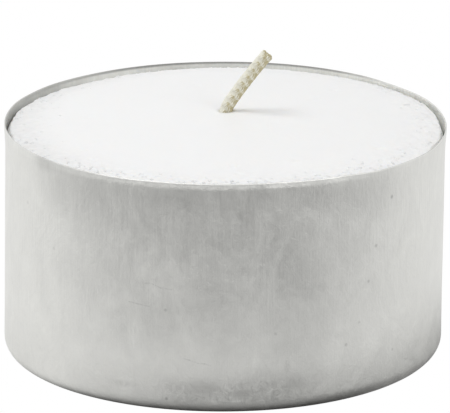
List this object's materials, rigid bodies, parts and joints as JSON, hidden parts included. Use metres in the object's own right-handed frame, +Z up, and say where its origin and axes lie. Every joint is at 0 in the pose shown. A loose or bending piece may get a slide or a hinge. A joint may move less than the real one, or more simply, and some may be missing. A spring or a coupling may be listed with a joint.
{
  "type": "tea light candle",
  "caption": "Small round candle: a pressed white wax puck with a plaited wick, held in a drawn aluminium foil cup that stands on its foot ring.",
  "frame": {"origin": "on the cup's axis, in the plane of the foot ring that it stands on", "axes": "+Z up along the cup's axis, the wick leans towards +X"},
  "size_m": [0.038, 0.038, 0.0265],
  "materials": {
    "foil": "drawn foil, hazy silver grey",
    "wax": "pressed paraffin, white, smooth in the middle and crumbly at the edge",
    "cotton": "waxed cotton plait, cream to pale olive",
    "tin": "tinned steel, plain"
  },
  "bodies": {
    "root": {"cup": "foil", "wax": "wax", "wick": "cotton", "wick_sustainer": "tin"}
  },
  "joints": []
}
